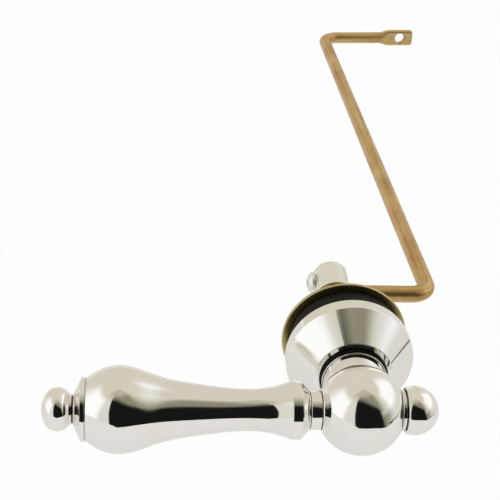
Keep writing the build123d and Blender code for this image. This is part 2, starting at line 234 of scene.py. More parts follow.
def add_node(tree, kind, sockets=None, **settings):
    """Add a node: settings are its own fields, sockets its inputs; a Mix node's colours are inputs 6, 7, output 2."""
    made = tree.nodes.new(kind)
    for field, value in settings.items():
        setattr(made, field, value)
    set_sockets(made, sockets or {})
    return made


def node_adder(owner):
    """Empty the node tree of a material or world and return add_node for that tree."""
    owner.use_nodes = True
    owner.node_tree.nodes.clear()
    return functools.partial(add_node, owner.node_tree)


def new_material(name):
    """Empty material with a Principled shader on its output; returns it, its add_node and the shader."""
    material = bpy.data.materials.new(name)
    add = node_adder(material)
    shader = add("ShaderNodeBsdfPrincipled")
    add("ShaderNodeOutputMaterial", {"Surface": shader})
    return material, add, shader


def polished_nickel(finishes):
    """Nickel plate, buffed to a mirror: it shows the room sharply, with a faint warm clouding."""
    material, add, shader = new_material("polished_nickel_plate")
    place = add("ShaderNodeTexCoord").outputs["Object"]
    cloud = add("ShaderNodeTexNoise", {"Vector": place, "Scale": per_mm(11), "Detail": 3.0})
    colour = add("ShaderNodeMix", {0: cloud, 6: finishes.nickel, 7: finishes.nickel_cloud}, data_type="RGBA")
    # painted shade: the nickel is darkened in the joints and creases that ambient occlusion finds, partly standing for
    # polish left there
    crease = add("ShaderNodeAmbientOcclusion", {"Distance": 0.8 * MM}, samples=8).outputs["AO"]
    crease_unshaded = add("ShaderNodeMapRange", {"Value": crease, "From Min": 0.42, "From Max": 0.8})
    colour = add("ShaderNodeMix", {0: crease_unshaded, 6: finishes.residue_and_crease_shade, 7: colour.outputs[2]}, data_type="RGBA")
    smear = add("ShaderNodeTexNoise", {"Vector": place, "Scale": per_mm(4), "Detail": 5.0})
    rough = add(
        "ShaderNodeMapRange", {"Value": smear, "From Min": 0.3, "From Max": 0.75, "To Min": 0.035, "To Max": 0.08}
    )
    # the buffing wheel's ripple is far finer; it is drawn 3 mm wide so that it shows at all
    ripple = add("ShaderNodeTexNoise", {"Vector": place, "Scale": per_mm(3), "Detail": 1.0})
    bump = add("ShaderNodeBump", {"Height": ripple, "Strength": 0.35, "Distance": 0.006 * MM})
    set_sockets(shader, {"Metallic": 1.0, "Base Color": colour.outputs[2], "Roughness": rough, "Normal": bump})
    return material


def satin_nickel(finishes):
    """Nickel over turned bar, left as it came from the lathe: faint rings round the bar and a broad pale gloss."""
    material, add, shader = new_material("satin_nickel_bar")
    place = add("ShaderNodeTexCoord").outputs["Object"]
    # lathe marks of 0.1 mm are drawn 0.5 mm apart so that they show
    lines = add("ShaderNodeMapping", {"Vector": place, "Scale": (0.05, 1.0, 0.05)})
    rings = add("ShaderNodeTexNoise", {"Vector": lines, "Scale": per_mm(0.5), "Detail": 2.0})
    cloud = add("ShaderNodeTexNoise", {"Vector": place, "Scale": per_mm(6), "Detail": 3.0})
    colour = add("ShaderNodeMix", {0: cloud, 6: finishes.bar, 7: shaded(finishes.bar, 0.93)}, data_type="RGBA")
    rough = add(
        "ShaderNodeMapRange", {"Value": rings, "From Min": 0.3, "From Max": 0.7, "To Min": 0.28, "To Max": 0.38}
    )
    bump = add("ShaderNodeBump", {"Height": rings, "Strength": 0.12, "Distance": 0.01 * MM})
    set_sockets(shader, {"Metallic": 1.0, "Base Color": colour.outputs[2], "Roughness": rough, "Normal": bump})
    return material


def drawn_brass(tones, bright, name, along_rod, smooth):
    """Unlacquered brass, drawn or turned and then handled: soft gloss, long tool lines and thin brown tarnish."""
    material, add, shader = new_material(name)
    if along_rod:
        place = add("ShaderNodeAttribute", attribute_name="straight_rod").outputs["Vector"]
        lines = add("ShaderNodeMapping", {"Vector": place, "Scale": (1.0, 0.03, 1.0)})
    else:
        place = add("ShaderNodeTexCoord").outputs["Object"]
        disc = add("ShaderNodeMapping", {"Vector": place, "Scale": (1.0, 0.0, 1.0)})
        radius = add("ShaderNodeVectorMath", {0: disc}, operation="LENGTH").outputs["Value"]
        lines = add("ShaderNodeCombineXYZ", {0: radius})
    # draw lines and lathe rings of 0.1 mm are drawn 1.2 mm wide so that they show
    line, cloud, speck = (
        add("ShaderNodeTexNoise", {"Vector": at, "Scale": per_mm(size), "Detail": detail})
        for at, size, detail in ((lines, 1.2, 3.0), (place, 16, 3.0), (place, 1.5, 4.0))
    )
    worn = add("ShaderNodeMix", {0: 0.35, 2: cloud, 3: speck}, data_type="FLOAT")
    both = add("ShaderNodeMix", {0: 0.5, 2: worn, 3: line}, data_type="FLOAT")
    ramp = add("ShaderNodeValToRGB", {"Fac": both})
    ramp.color_ramp.elements.new(0.5)
    for element, position, shade in zip(ramp.color_ramp.elements, (0.34, 0.5, 0.66), tones):
        element.position = position
        element.color = shade
    worn_range = {"Value": both, "From Min": 0.36, "From Max": 0.62}
    rough = add("ShaderNodeMapRange", {**worn_range, "To Min": smooth + 0.1, "To Max": smooth})
    metallic = 1.0
    if along_rod:
        # painted light: the end bar is made paler towards its far end, and duller there
        along = add("ShaderNodeSeparateXYZ", {0: place}).outputs[1]
        # rubbed is the mask of the painted light along the end bar
        rubbed = add("ShaderNodeMapRange", {"Value": along, "From Min": 270 * MM, "From Max": 305 * MM})
        colour = add("ShaderNodeMix", {0: rubbed, 6: ramp, 7: bright}, data_type="RGBA", blend_type="SCREEN")
        rough = add("ShaderNodeMath", {0: rubbed, 1: 0.15, 2: rough}, operation="MULTIPLY_ADD")
        # tarnish lies over the bare metal as a thin dull coat
        metallic = add("ShaderNodeMapRange", {**worn_range, "To Min": 0.62, "To Max": 0.88})
    else:
        # painted highlight: the washer's rim is made paler by its radius
        rim = add("ShaderNodeMapRange", {"Value": radius, "From Min": 18.5 * MM, "From Max": 18.8 * MM, "To Max": 0.3})
        colour = add("ShaderNodeMix", {0: rim, 6: ramp, 7: bright}, data_type="RGBA")
    bump = add("ShaderNodeBump", {"Height": both, "Strength": 0.25, "Distance": 0.03 * MM})
    set_sockets(shader, {"Metallic": metallic, "Base Color": colour.outputs[2], "Roughness": rough, "Normal": bump})
    return material


def plated_steel(finishes):
    """Zinc-plated steel: pale, faintly clouded, half glossy."""
    material, add, shader = new_material("zinc_plated_steel")
    place = add("ShaderNodeTexCoord").outputs["Object"]
    cloud = add("ShaderNodeTexNoise", {"Vector": place, "Scale": per_mm(1.6), "Detail": 3.0})
    colour = add("ShaderNodeMix", {0: cloud, 6: finishes.steel, 7: shaded(finishes.steel, 0.93)}, data_type="RGBA")
    rough = add("ShaderNodeMapRange", {"Value": cloud, "To Min": 0.38, "To Max": 0.5})
    set_sockets(shader, {"Metallic": 1.0, "Base Color": colour.outputs[2], "Roughness": rough})
    return material


def moulded_black(name, colour, grain, matt, depth, gloss):
    """Moulded black rubber or nylon: dark, with a fine matt grain from the mould and paler rubbed specks."""
    material, add, shader = new_material(name)
    place = add("ShaderNodeTexCoord").outputs["Object"]
    speck = add("ShaderNodeTexNoise", {"Vector": place, "Scale": per_mm(grain), "Detail": 4.0})
    mixed = add("ShaderNodeMix", {0: speck, 6: colour, 7: shaded(colour, 2.1)}, data_type="RGBA")
    rough = add("ShaderNodeMapRange", {"Value": speck, "To Min": matt - 0.1, "To Max": matt + 0.1})
    bump = add("ShaderNodeBump", {"Height": speck, "Strength": 0.5, "Distance": depth * MM})
    set_sockets(
        shader, {"Specular IOR Level": gloss, "Base Color": mixed.outputs[2], "Roughness": rough, "Normal": bump}
    )
    return material


def material_for(slot):
    """The material of one of the record's slots, made on its first use."""
    finishes = bpy.context.scene.cistern_finishes
    rod = (finishes.brass_stain, finishes.brass, finishes.brass_pale)
    lathe = [shaded(finishes.turned_brass, share) for share in (0.75, 1.0, 1.25)]
    makers = {
        "polished_nickel": lambda: polished_nickel(finishes),
        "nickel_bar": lambda: satin_nickel(finishes),
        "brass": lambda: drawn_brass(lathe, finishes.washer_rim_highlight, "turned_brass", along_rod=False, smooth=0.2),
        "brass_rod": lambda: drawn_brass(rod, finishes.end_bar_light, "drawn_brass_rod", along_rod=True, smooth=0.29),
        "steel": lambda: plated_steel(finishes),
        "rubber": lambda: moulded_black(
            "moulded_black_rubber", finishes.rubber, grain=0.8, matt=0.6, depth=0.03, gloss=0.2
        ),
        "black_nylon": lambda: moulded_black(
            "black_nylon", finishes.nylon, grain=0.5, matt=0.45, depth=0.01, gloss=0.1
        ),
    }
    key = "cistern_" + slot
    if key not in bpy.context.scene:
        bpy.context.scene[key] = makers[slot]()
    return bpy.context.scene[key]


def rounded(corners):
    """Outline with its corners rounded: each corner is (along, radius) or (along, radius, rounding)."""
    points = [np.array(c[:2], float) for c in corners]
    outline = []
    for i, corner in enumerate(corners):
        rounding = corner[2] if len(corner) > 2 else 0.0
        here = points[i]
        if not rounding:
            outline.append(here)
            continue
        back = points[i - 1] - here
        ahead = points[(i + 1) % len(points)] - here
        back_length, ahead_length = norm(back), norm(ahead)
        back, ahead = back / back_length, ahead / ahead_length
        half = acos(max(-1.0, min(1.0, float(back @ ahead)))) / 2
        reach = min(rounding / tan(half), ROUNDING_SHARE * back_length, ROUNDING_SHARE * ahead_length)
        radius = reach * tan(half)
        centre = here + (back + ahead) / norm(back + ahead) * (radius / sin(half))
        first, last = here + back * reach - centre, here + ahead * reach - centre
        turn = pi - 2 * half
        steps = max(2, ceil(turn / ROUNDING_STEP))
        side = copysign(1.0, first[0] * last[1] - first[1] * last[0])
        start = atan2(first[1], first[0])
        outline += arc(centre, radius, start, start + side * turn, steps)
    return outline


def arc(centre, radius, start, end, steps):
    """Points of a circular arc in the outline's plane, angles in radians from the along axis."""
    angles = np.linspace(start, end, steps + 1)
    return [(centre[0] + radius * cos(a), centre[1] + radius * sin(a)) for a in angles]


def smooth_line(knots, steps):
    """Points of the natural cubic spline through the knots, spaced by the distance between them."""
    knots = np.array(knots, float)
    t = np.concatenate(([0.0], np.cumsum(norm(np.diff(knots, axis=0), axis=1))))
    h = np.diff(t)
    count = len(knots)
    system = np.eye(count)
    right = np.zeros((count, 2))
    for i in range(1, count - 1):
        system[i, i - 1 : i + 2] = h[i - 1], 2 * (h[i - 1] + h[i]), h[i]
        right[i] = 6 * ((knots[i + 1] - knots[i]) / h[i] - (knots[i] - knots[i - 1]) / h[i - 1])
    bend = np.linalg.solve(system, right)
    points = []
    for at in np.linspace(0, t[-1], steps + 1):
        i = min(max(int(np.searchsorted(t, at) - 1), 0), count - 2)
        a, b = t[i + 1] - at, at - t[i]
        points.append(
            bend[i] * a**3 / (6 * h[i]) + bend[i + 1] * b**3 / (6 * h[i])
            + (knots[i] / h[i] - bend[i] * h[i] / 6) * a + (knots[i + 1] / h[i] - bend[i + 1] * h[i] / 6) * b
        )
    return points


def finish_mesh(name, shape, sharp=SHARP_ANGLE):
    """Object from a bmesh in millimetres, shaded smooth up to its sharp edges."""
    bmesh.ops.remove_doubles(shape, verts=shape.verts, dist=WELD)
    bmesh.ops.recalc_face_normals(shape, faces=shape.faces)
    bmesh.ops.scale(shape, vec=(MM, MM, MM), verts=shape.verts)
    for face in shape.faces:
        face.smooth = True
    mesh = bpy.data.meshes.new(name)
    shape.to_mesh(mesh)
    shape.free()
    mesh.set_sharp_from_angle(angle=sharp)
    piece = bpy.data.objects.new(name, mesh)
    bpy.context.scene.collection.objects.link(piece)
    return piece


def keep_flats_flat(piece):
    """Let the large faces set the shading beside small roundings."""
    weighted = piece.modifiers.new("flat_faces", "WEIGHTED_NORMAL")
    weighted.keep_sharp = True


def skin(shape, rings):
    """Faces between each ring of points and the next; a ring may be a single point."""
    for ring, after in zip(rings, rings[1:]):
        count = max(len(ring), len(after))
        for k in range(count):
            j = (k + 1) % count
            corners = (ring[k % len(ring)], ring[j % len(ring)], after[j % len(after)], after[k % len(after)])
            face = list(dict.fromkeys(corners))
            if len(face) > 2:
                shape.faces.new(face)


def turned_shape(outline, origin=CENTRE, axis=SPINDLE_AXIS, segments=TURNED_SEGMENTS):
    """Bmesh turned from a closed outline of (along, radius) about an axis through origin."""
    axis, across = Vector(axis), Vector((0, 0, 1))
    beside = axis.cross(across)
    turns = [2 * pi * k / segments for k in range(segments)]
    spokes = [beside * cos(turn) + across * sin(turn) for turn in turns]
    shape = bmesh.new()
    rings = []
    for along, radius in outline:
        centre = Vector(origin) + axis * float(along)
        if radius < ON_AXIS:
            rings.append([shape.verts.new(centre)])
        else:
            rings.append([shape.verts.new(centre + spoke * float(radius)) for spoke in spokes])
    skin(shape, rings + rings[:1])
    return shape


def turned(name, corners, origin=CENTRE, axis=SPINDLE_AXIS):
    """Turned piece from an outline with rounded corners."""
    piece = finish_mesh(name, turned_shape(rounded(corners), origin, axis))
    keep_flats_flat(piece)
    return piece


def cut_away(piece, cutter):
    """Cut one mesh object out of another, then remove the cutter."""
    cut = piece.modifiers.new("cut", "BOOLEAN")
    cut.operation = "DIFFERENCE"
    cut.solver = "EXACT"
    cut.object = cutter
    graph = bpy.context.evaluated_depsgraph_get()
    made = bpy.data.meshes.new_from_object(piece.evaluated_get(graph))
    piece.modifiers.clear()
    piece.data = made
    bpy.data.objects.remove(cutter)
    made.set_sharp_from_angle(angle=SHARP_ANGLE)


def fit(piece, body, node, slot, material=None):
    """Give a piece its finish, set it on its body and let it stand for its CAD node."""
    piece.data.materials.clear()
    piece.data.materials.append(material_for(material or slot))
    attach(piece, body)
    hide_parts(node)


def dress(node, slot):
    """Give a CAD node that stays visible its finish."""
    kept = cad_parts[node]
    kept.data.materials.clear()
    kept.data.materials.append(material_for(slot))


HANDLE_AXIS_Y = middle_of("lever_collar", Y)
HANDLE_CENTRE = (0, HANDLE_AXIS_Y, 0)
OUTWARD = (-1, 0, 0)
INWARD = (1, 0, 0)
HUB_SEAT = -top_of("lever_collar", X)
KNOB_SEAT = top_of("hub_ball", X)
LEVER_START = -foot_of("lever_collar", X)
FINIAL_SEAT = -foot_of("lever_handle", X)
FINIAL_NECK = 4.1
STUD_BORE, STUD_HOLE, STUD_GRIP = 2.8, 2.55, 5.05
STEM_LENGTH, STEM_HOLE = 4.5, 4.55
TAPPED = 7.55
SPINDLE = top_of("spindle", Z)
SPINDLE_GAP = 0.05
BEARING, PASSAGE = SPINDLE + SPINDLE_GAP, SPINDLE + 0.3
# how far the visible nose stands over the slip ring, and the ring out of its CAD node
NOSE_REACH, RING_LIP = 0.65, 0.2
# handle behind its lip, as distances from the lip: radii over the waist, then radii over the swell
FLARE = ((4.6, 0.78), (11.4, 0), (25.4, 1.25), (36.4, 3.4))
SHOULDER = ((47.4, 0), (52.6, -1.17))
BODY_LENGTH = 56.2


def make_baluster(foot, lip, waist, swell, ring):
    """Coned foot, bevelled lip, waist and swell in one flowing line, and a grooved ring at the end."""
    cone, lip_width, bevel, body_fall, body_edge = 2.1, 2.95, 0.35, 0.05, 0.06
    groove_width, groove_depth, ring_width, ring_step, step_edge = 0.3, 0.2, 1.25, 0.15, 0.03
    lip_start = LEVER_START + cone
    lip_end = lip_start + lip_width
    body_end = lip_end + BODY_LENGTH
    ring_start = body_end + groove_width
    ring_end = ring_start + ring_width
    groove = ring - groove_depth
    knots = [(lip_end, lip)]
    for over, curve in ((waist, FLARE), (swell, SHOULDER)):
        knots += [(lip_end + along, over + radius) for along, radius in curve]
    knots.append((body_end, ring - body_fall))
    body = [tuple(p) for p in smooth_line(knots, steps=150)]
    corners = [
        (LEVER_START, STUD_BORE), (LEVER_START, foot, EASED), (lip_start, lip - bevel, SOFT),
        (lip_start + bevel, lip, SOFT), (*body[0], SOFT), *body[1:-1], (*body[-1], body_edge),
        (body_end, groove, TIGHT), (ring_start, groove, TIGHT), (ring_start, ring, EASED), (ring_end, ring, EASED),
        (ring_end, ring - ring_step, step_edge), (FINIAL_SEAT, FINIAL_NECK, FINE), (FINIAL_SEAT, STUD_BORE),
    ]
    fit(turned("handle", corners, HANDLE_CENTRE, OUTWARD), "lever", "lever_handle", "polished_nickel")


def make_end_finial(ball):
    """Grooved neck and flattened ball: a cheek arc round its middle, closed by a flatter cap arc."""
    groove, groove_width, neck_length = 3.75, 0.3, 0.65
    cheek, foot, crown_to_tip = 3.9, 4.25, 4.4
    neck_start, socket = FINIAL_SEAT + groove_width, FINIAL_SEAT + STUD_GRIP
    ball_start = neck_start + neck_length
    height = ball - cheek
    crown = ball_start + sqrt(cheek**2 - (foot - height) ** 2)
    cap = (height**2 + crown_to_tip**2 - cheek**2) / (2 * (crown_to_tip - cheek))
    cap_angle = atan2(height, cap - crown_to_tip)
    foot_angle = atan2(foot - height, ball_start - crown)
    cheek_arc = arc((crown, height), cheek, foot_angle, cap_angle, steps=40)
    cap_arc = arc((crown + crown_to_tip - cap, 0), cap, cap_angle, 0, steps=30)
    corners = [
        (FINIAL_SEAT, STUD_HOLE), (FINIAL_SEAT, groove), (neck_start, groove, TIGHT), (neck_start, FINIAL_NECK, FINE),
        (ball_start, FINIAL_NECK, FINE), *cheek_arc, *cap_arc[1:], (socket, 0), (socket, STUD_HOLE),
    ]
    fit(turned("end_finial_ball", corners, HANDLE_CENTRE, OUTWARD), "lever", "end_finial", "polished_nickel")


def make_hub_finial(ball):
    """Ball knob on a grooved base, with its stem in the hub."""
    stem, base, groove, foot, stem_edge = 2.5, 5.7, 5.35, 6.35, 0.3
    base_width, groove_width = 0.85, 0.35
    stem_end, groove_start = KNOB_SEAT - STEM_LENGTH, KNOB_SEAT + base_width
    knob_start = groove_start + groove_width
    centre = knob_start + sqrt(ball**2 - foot**2)
    foot_angle = atan2(foot, knob_start - centre)
    corners = [
        (stem_end, 0), (stem_end, stem, stem_edge), (KNOB_SEAT, stem), (KNOB_SEAT, base, EASED),
        (groove_start, base, SOFT), (groove_start, groove, TIGHT), (knob_start, groove, TIGHT),
        (knob_start, foot, EASED), *arc((centre, 0), ball, foot_angle, 0, steps=60)[1:],
    ]
    fit(turned("hub_knob", corners, HANDLE_CENTRE, INWARD), "lever", "hub_finial", "polished_nickel")


class CISTERN_OT_handle(bpy.types.Operator):
    """Turn the collar, the baluster handle and both finials"""

    bl_idname = "cistern.handle"
    bl_label = "Handle and finials"

    def execute(self, context):
        sizes = context.scene.cistern_handle
        collar, edge = sizes.collar / MM, 0.45
        corners = [
            (HUB_SEAT, STUD_BORE), (HUB_SEAT, collar, edge), (LEVER_START, collar, edge), (LEVER_START, STUD_BORE),
        ]
        fit(turned("collar", corners, HANDLE_CENTRE, OUTWARD), "lever", "lever_collar", "polished_nickel")
        make_baluster(collar, sizes.lip / MM, sizes.waist / MM, sizes.swell / MM, sizes.end_ring / MM)
        make_end_finial(sizes.finial / MM)
        make_hub_finial(sizes.knob / MM)
        dress("handle_stud", "steel")
        return {"FINISHED"}


def ball_and_neck(ball):
    """Ball, crease, neck and flange, bored for the spindle and faced flat for collar and finial."""
    neck, neck_step, crease_width, crease_depth, flange_width, flange_lip = 9.3, 0.1, 0.4, 0.35, 0.3, 0.2
    step, crease, lip = neck + neck_step, neck - crease_depth, neck + flange_lip
    neck_y = HANDLE_AXIS_Y + sqrt(ball**2 - step**2)
    crease_end, flange_end = neck_y + crease_width, top_of("hub_ball", Y)
    flange_start, bore_end = flange_end - flange_width, foot_of("spindle", Y) - SPINDLE_GAP
    sphere = arc((HANDLE_AXIS_Y, 0), ball, pi, atan2(step, neck_y - HANDLE_AXIS_Y), steps=96)
    corners = [
        *sphere[:-1], (*sphere[-1], EASED), (neck_y, crease, TIGHT), (crease_end, crease, TIGHT),
        (crease_end, neck, EASED), (flange_start, neck, FINE), (flange_start, lip, EASED), (flange_end, lip, EASED),
        (flange_end, BEARING), (bore_end, BEARING), (bore_end, 0),
    ]
    shape = turned_shape(rounded(corners))
    for place in (-HUB_SEAT, KNOB_SEAT):
        cut = bmesh.ops.bisect_plane(
            shape, geom=shape.verts[:] + shape.edges[:] + shape.faces[:], plane_co=(place, 0, 0),
            plane_no=(place, 0, 0), clear_outer=True,
        )
        rim = [e for e in cut["geom_cut"] if isinstance(e, bmesh.types.BMEdge)]
        bmesh.ops.contextual_create(shape, geom=rim)
    return shape


def grub_hole():
    """Cutter for the grub screw's hole, from below up into the neck."""
    radius, top, bottom = 2.05, 4.5, 14
    hole = turned_shape([(top, 0), (top, radius), (bottom, radius), (bottom, 0)], segments=BORE_SEGMENTS)
    bmesh.ops.rotate(hole, cent=CENTRE, matrix=Matrix.Rotation(-pi / 2, 3, "X"), verts=hole.verts)
    bmesh.ops.translate(hole, vec=(0, middle_of("neck_grub_screw", Y), 0), verts=hole.verts)
    return hole


class CISTERN_OT_hub(bpy.types.Operator):
    """Shape the ball hub with its neck, the slip ring and the grub screw"""

    bl_idname = "cistern.hub"
    bl_label = "Hub"

    def execute(self, context):
        ball = context.scene.cistern_handle.ball / MM
        piece = finish_mesh("hub", ball_and_neck(ball))
        for bottom, axis in ((HUB_SEAT - STUD_GRIP, OUTWARD), (KNOB_SEAT - STEM_HOLE, INWARD)):
            outline = [(bottom, 0), (bottom, STUD_HOLE), (ball, STUD_HOLE), (ball, 0)]
            cut_away(piece, finish_mesh("bore", turned_shape(outline, HANDLE_CENTRE, axis, BORE_SEGMENTS)))
        cut_away(piece, finish_mesh("bore", grub_hole()))
        keep_flats_flat(piece)
        fit(piece, "lever", "hub_ball", "polished_nickel")

        low, high = foot_of("bearing_washer", Y), top_of("bearing_washer", Y) - NOSE_REACH
        radius, edge = top_of("bearing_washer", X) + RING_LIP, 0.18
        corners = [(low, PASSAGE), (low, radius, edge), (high, radius, edge), (high, PASSAGE)]
        fit(turned("slip_ring", corners), "mounting", "bearing_washer", "black_nylon")
        dress("neck_grub_screw", "steel")
        return {"FINISHED"}


class CISTERN_OT_escutcheon(bpy.types.Operator):
    """Turn the coned escutcheon, cored from behind"""

    bl_idname = "cistern.escutcheon"
    bl_label = "Escutcheon"

    def execute(self, context):
        sizes = context.scene.cistern_mount
        rim, nose = sizes.rim / MM, sizes.nose / MM
        nose_y, band_y, thread_y = foot_of("escutcheon", Y) - NOSE_REACH, -4.35, -7.0
        boss, wall, edge, band_edge = 10.15, 2.2, 0.35, 0.3
        rise = (band_y - nose_y) / (rim - nose)
        depth = wall * hypot(rim - nose, band_y - nose_y) / (rim - nose)
        inner = rim - wall
        corners = [
            (nose_y, PASSAGE), (nose_y, nose, edge), (band_y, rim, band_edge), (0, rim, edge), (0, inner),
            (nose_y + rise * (inner - nose) + depth, inner), (nose_y + rise * (boss - nose) + depth, boss), (0, boss),
            (0, TAPPED), (thread_y, TAPPED), (thread_y, PASSAGE),
        ]
        fit(turned("escutcheon_cone", corners), "mounting", "escutcheon", "polished_nickel")
        return {"FINISHED"}


def round_spindle(name, outline_at, sharp=SHARP_ANGLE):
    """Piece round the spindle axis whose outline of (along, radius) changes with the share of a turn."""
    shape = bmesh.new()
    rings = []
    for k in range(ROUND_SEGMENTS):
        turn = k / ROUND_SEGMENTS
        spoke = Vector((cos(2 * pi * turn), 0, sin(2 * pi * turn)))
        rings.append([shape.verts.new(Vector((0, y, 0)) + spoke * float(r)) for y, r in outline_at(turn)])
    skin(shape, rings + rings[:1])
    return finish_mesh(name, shape, sharp)


def make_nut(flats):
    """Hexagon nut whose corners are turned off at 30 degrees, as a nut's are."""
    low, high = span("lock_nut", Y)
    bevel, face, sixth = 0.5, 0.475 * flats, pi / 3
    mouth = TAPPED + bevel

    def outline_at(turn):
        edge = flats / 2 / cos((2 * pi * turn + sixth / 2) % sixth - sixth / 2)
        drop = (edge - face) * tan(radians(30))
        return [
            (low + bevel, TAPPED), (low, mouth), (low, face), (low + drop, edge), (high - drop, edge), (high, face),
            (high, mouth), (high - bevel, TAPPED),
        ]

    piece = round_spindle("hex_nut", outline_at)
    keep_flats_flat(piece)
    fit(piece, "mounting", "lock_nut", "brass")


def make_shank(crest, pitch, depth):
    """Brass tube with a helical thread, a V cut off flat at crest and root, chamfered at its end."""
    low, high = span("mounting_shank", Y)
    chamfer, bevel, slope, flat, rows_per_turn, slack = 0.75, 0.3, 1.35, 0.175, 10, 1e-6
    rows = np.arange(low, high + slack, pitch / rows_per_turn)
    rows[-1] = high

    def outline_at(turn):
        outline = []
        for y in rows:
            phase = (y / pitch - turn) % 1.0
            flank = min(1.0, max(0.0, slope * abs(2 * phase - 1) - flat))
            end = crest - chamfer + max(0.0, min(y - low, high - y))
            outline.append((y, min(crest - depth * (1 - flank), end)))
        return outline + [(high, BEARING + bevel), (high - bevel, BEARING), (low, BEARING)]

    fit(round_spindle("threaded_shank", outline_at, THREAD_SHARP_ANGLE), "mounting", "mounting_shank", "brass")


class CISTERN_OT_clamp(bpy.types.Operator):
    """Make the gasket, the washer, the hexagon nut and the threaded shank"""

    bl_idname = "cistern.clamp"
    bl_label = "Clamp stack and shank"

    def execute(self, context):
        sizes = context.scene.cistern_mount
        gasket, bulge, washer = sizes.gasket / MM, sizes.bulge / MM, sizes.washer / MM
        low, high = span("rubber_gasket", Y)
        bore, edge, crown_half, crown_edge, crown_share = 7.8, 0.8, 1.5, 2.5, 0.7
        middle, side, crown = middle_of("rubber_gasket", Y), gasket - bulge, gasket + crown_share * bulge
        corners = [
            (low, bore), (low, side, edge), (middle - crown_half, crown, crown_edge),
            (middle + crown_half, crown, crown_edge), (high, side, edge), (high, bore),
        ]
        fit(turned("gasket", corners), "mounting", "rubber_gasket", "rubber")
        low, high = span("clamp_washer", Y)
        bore, bore_edge, edge = 8.2, 0.2, 0.3
        corners = [(low, bore, bore_edge), (low, washer, edge), (high, washer, edge), (high, bore, bore_edge)]
        # the washer lies loose on the shank, a little off its axis
        loose = (middle_of("clamp_washer", X), 0, middle_of("clamp_washer", Z))
        fit(turned("washer", corners, loose), "mounting", "clamp_washer", "brass")
        make_nut(sizes.nut_flats / MM)
        make_shank(sizes.shank / MM, sizes.thread_pitch / MM, sizes.thread_depth / MM)
        return {"FINISHED"}


class CISTERN_OT_spindle(bpy.types.Operator):
    """Finish the spindle, its retaining clip and the arm screw"""

    bl_idname = "cistern.spindle"
    bl_label = "Spindle"

    def execute(self, context):
        dress("spindle", "nickel_bar")
        dress("retaining_clip", "steel")
        dress("arm_screw", "steel")
        return {"FINISHED"}


def drill_outline(half, hole):
    """Outline of the cutter for the chain hole, which bevels both mouths."""
    bevel, overrun = 0.3, 2
    wide = hole + bevel + overrun
    side = [(half - bevel, hole), (half + overrun, wide), (half + overrun, 0)]
    return [(-along, radius) for along, radius in side[::-1]] + side


def straight_run(start, stop, ahead):
    """Stations (place, direction) of a straight run."""
    longest_step = 3
    steps = max(2, int(norm(stop - start) / longest_step))
    return [(start + (stop - start) * k / steps, ahead) for k in range(steps + 1)]


def bent_route(corners, bends):
    """Stations along the rod's centre, straight runs joined by round bends."""
    bend_steps = 24
    ways = [(b - a) / norm(b - a) for a, b in zip(corners, corners[1:])]
    stations = []
    start = corners[0]
    for corner, ahead, leave, bend in zip(corners[1:], ways, ways[1:], bends):
        turn = acos(float(ahead @ leave))
        cut = bend * tan(turn / 2)
        stop = corner - ahead * cut
        side = copysign(1.0, ahead[0] * leave[1] - ahead[1] * leave[0])
        inward = side * np.array((-ahead[1], ahead[0]))
        centre = stop + inward * bend
        stations += straight_run(start, stop, ahead)
        for k in range(1, bend_steps):
            angle = turn * k / bend_steps
            place = centre - inward * bend * cos(angle) + ahead * bend * sin(angle)
            stations.append((place, ahead * cos(angle) + inward * sin(angle)))
        start = corner + leave * cut
    return stations + straight_run(start, corners[-1], ways[-1])


def sweep_rod(stations):
    """Skin over the stations' sections; each point keeps its place on the straightened rod."""
    shape = bmesh.new()
    rings, straight, travelled = [], [], 0.0
    before = stations[0][0]
    for place, ahead, section in stations:
        travelled += float(norm(place - before))
        before = place
        side = np.array((-ahead[1], ahead[0]))
        rings.append([shape.verts.new((*(place + side * u), v)) for u, v in section])
        straight += [(u, travelled, v) for u, v in section]
    skin(shape, rings)
    shape.faces.new(rings[0][::-1])
    shape.faces.new(rings[-1])
    layer = shape.verts.layers.float_vector.new("straight_rod")
    for vertex, place in zip(shape.verts, straight):
        vertex[layer] = [c * MM for c in place]
    return finish_mesh("arm", shape)


def flat_section(half_thick, half_width, edge):
    """Rounded rectangle with as many points as the round section, starting on its flat side."""
    dense = []
    for u_sign, v_sign, start in ((1, 1, 0.0), (-1, 1, 0.5), (-1, -1, 1.0), (1, -1, 1.5)):
        centre = (u_sign * (half_thick - edge), v_sign * (half_width - edge))
        dense += arc(centre, edge, start * pi, (start + 0.5) * pi, steps=24)
    start = np.array(((half_thick, 0.0),))
    dense = np.concatenate((start, np.array(dense), start))
    travelled = np.concatenate(([0.0], np.cumsum(norm(np.diff(dense, axis=0), axis=1))))
    wanted = np.linspace(0, travelled[-1], SECTION_POINTS, endpoint=False)
    return np.stack([np.interp(wanted, travelled, dense[:, k]) for k in (0, 1)], axis=1)


